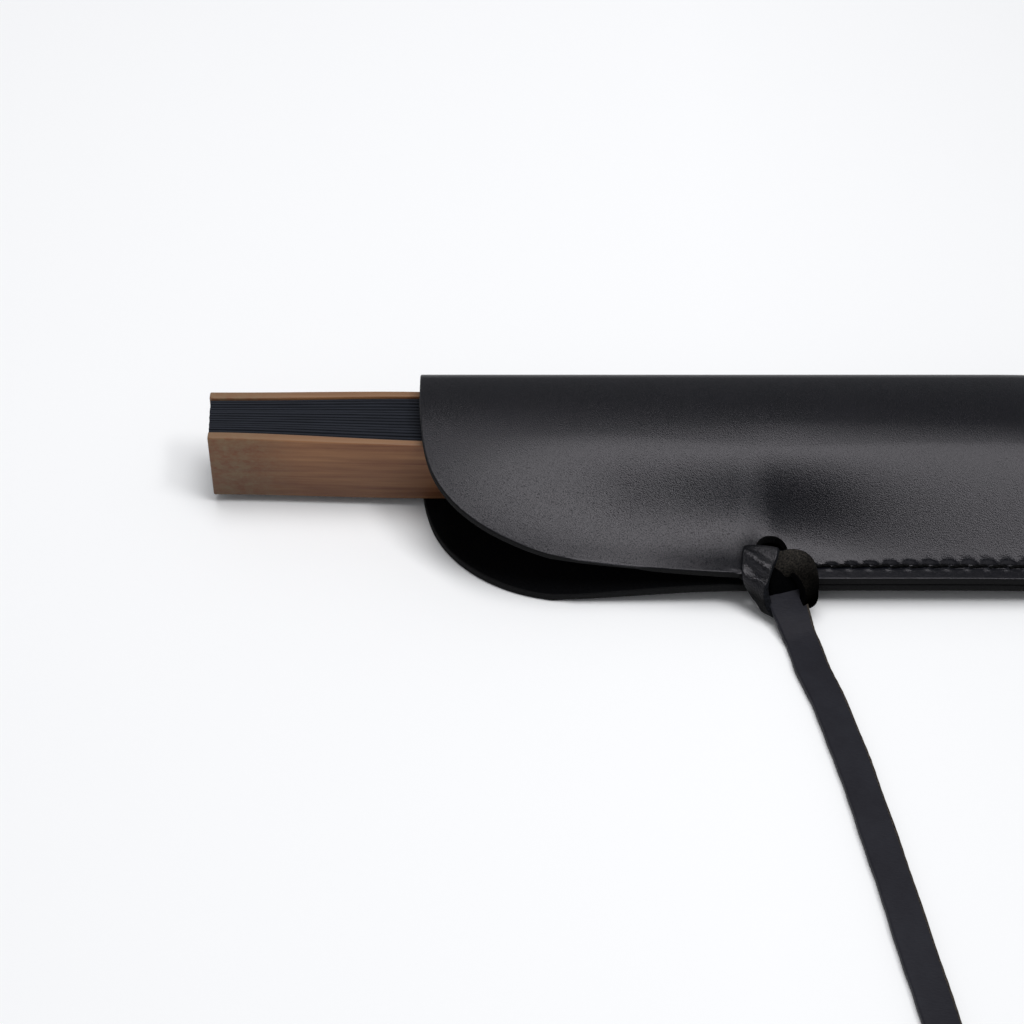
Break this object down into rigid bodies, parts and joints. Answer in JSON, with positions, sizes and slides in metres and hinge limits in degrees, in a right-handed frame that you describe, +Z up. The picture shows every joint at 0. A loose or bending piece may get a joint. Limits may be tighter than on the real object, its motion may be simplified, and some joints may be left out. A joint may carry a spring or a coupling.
{
  "type": "folding fan sleeve case",
  "caption": "Folded leather sleeve with rounded mouth corners, hand-stitched edge and knotted flat lace, holding a closed pleated folding fan that slides out of its open end.",
  "frame": {"origin": "on the table plane, under the middle of the box round the sleeve, fan and knot", "axes": "+X along the fan towards the sleeve's stitched end, +Y from the seam towards the folded back, +Z up from the table"},
  "size_m": [0.298, 0.2565, 0.0232],
  "materials": {
    "leather": "satin, fine grain",
    "thread": "waxed",
    "lace": "satin grain side, rough flesh side",
    "bamboo": "smoked, satin",
    "leaf_paper": "matt",
    "rivet": "polished"
  },
  "bodies": {
    "sleeve": {"sleeve": "leather", "seam_thread": "thread", "end_thread": "thread", "lace_knot": "lace", "lace_tail": "lace", "lace_coil": "lace"},
    "fan": {"front_guard": "bamboo", "rear_guard": "bamboo", "leaf": "leaf_paper", "rivet_pin": "rivet", "rivet_cap_front": "rivet", "rivet_cap_rear": "rivet", "rib_01": "bamboo", "rib_02": "bamboo", "rib_03": "bamboo", "rib_04": "bamboo", "rib_05": "bamboo", "rib_06": "bamboo", "rib_07": "bamboo", "rib_08": "bamboo", "rib_09": "bamboo", "rib_10": "bamboo", "rib_11": "bamboo", "rib_12": "bamboo", "rib_13": "bamboo", "rib_14": "bamboo", "rib_15": "bamboo"}
  },
  "joints": [
    {"name": "fan_slide", "type": "slide", "parent": "sleeve", "child": "fan", "axis": [1, 0, 0], "range_m": [-0.185, 0.045]}
  ]
}
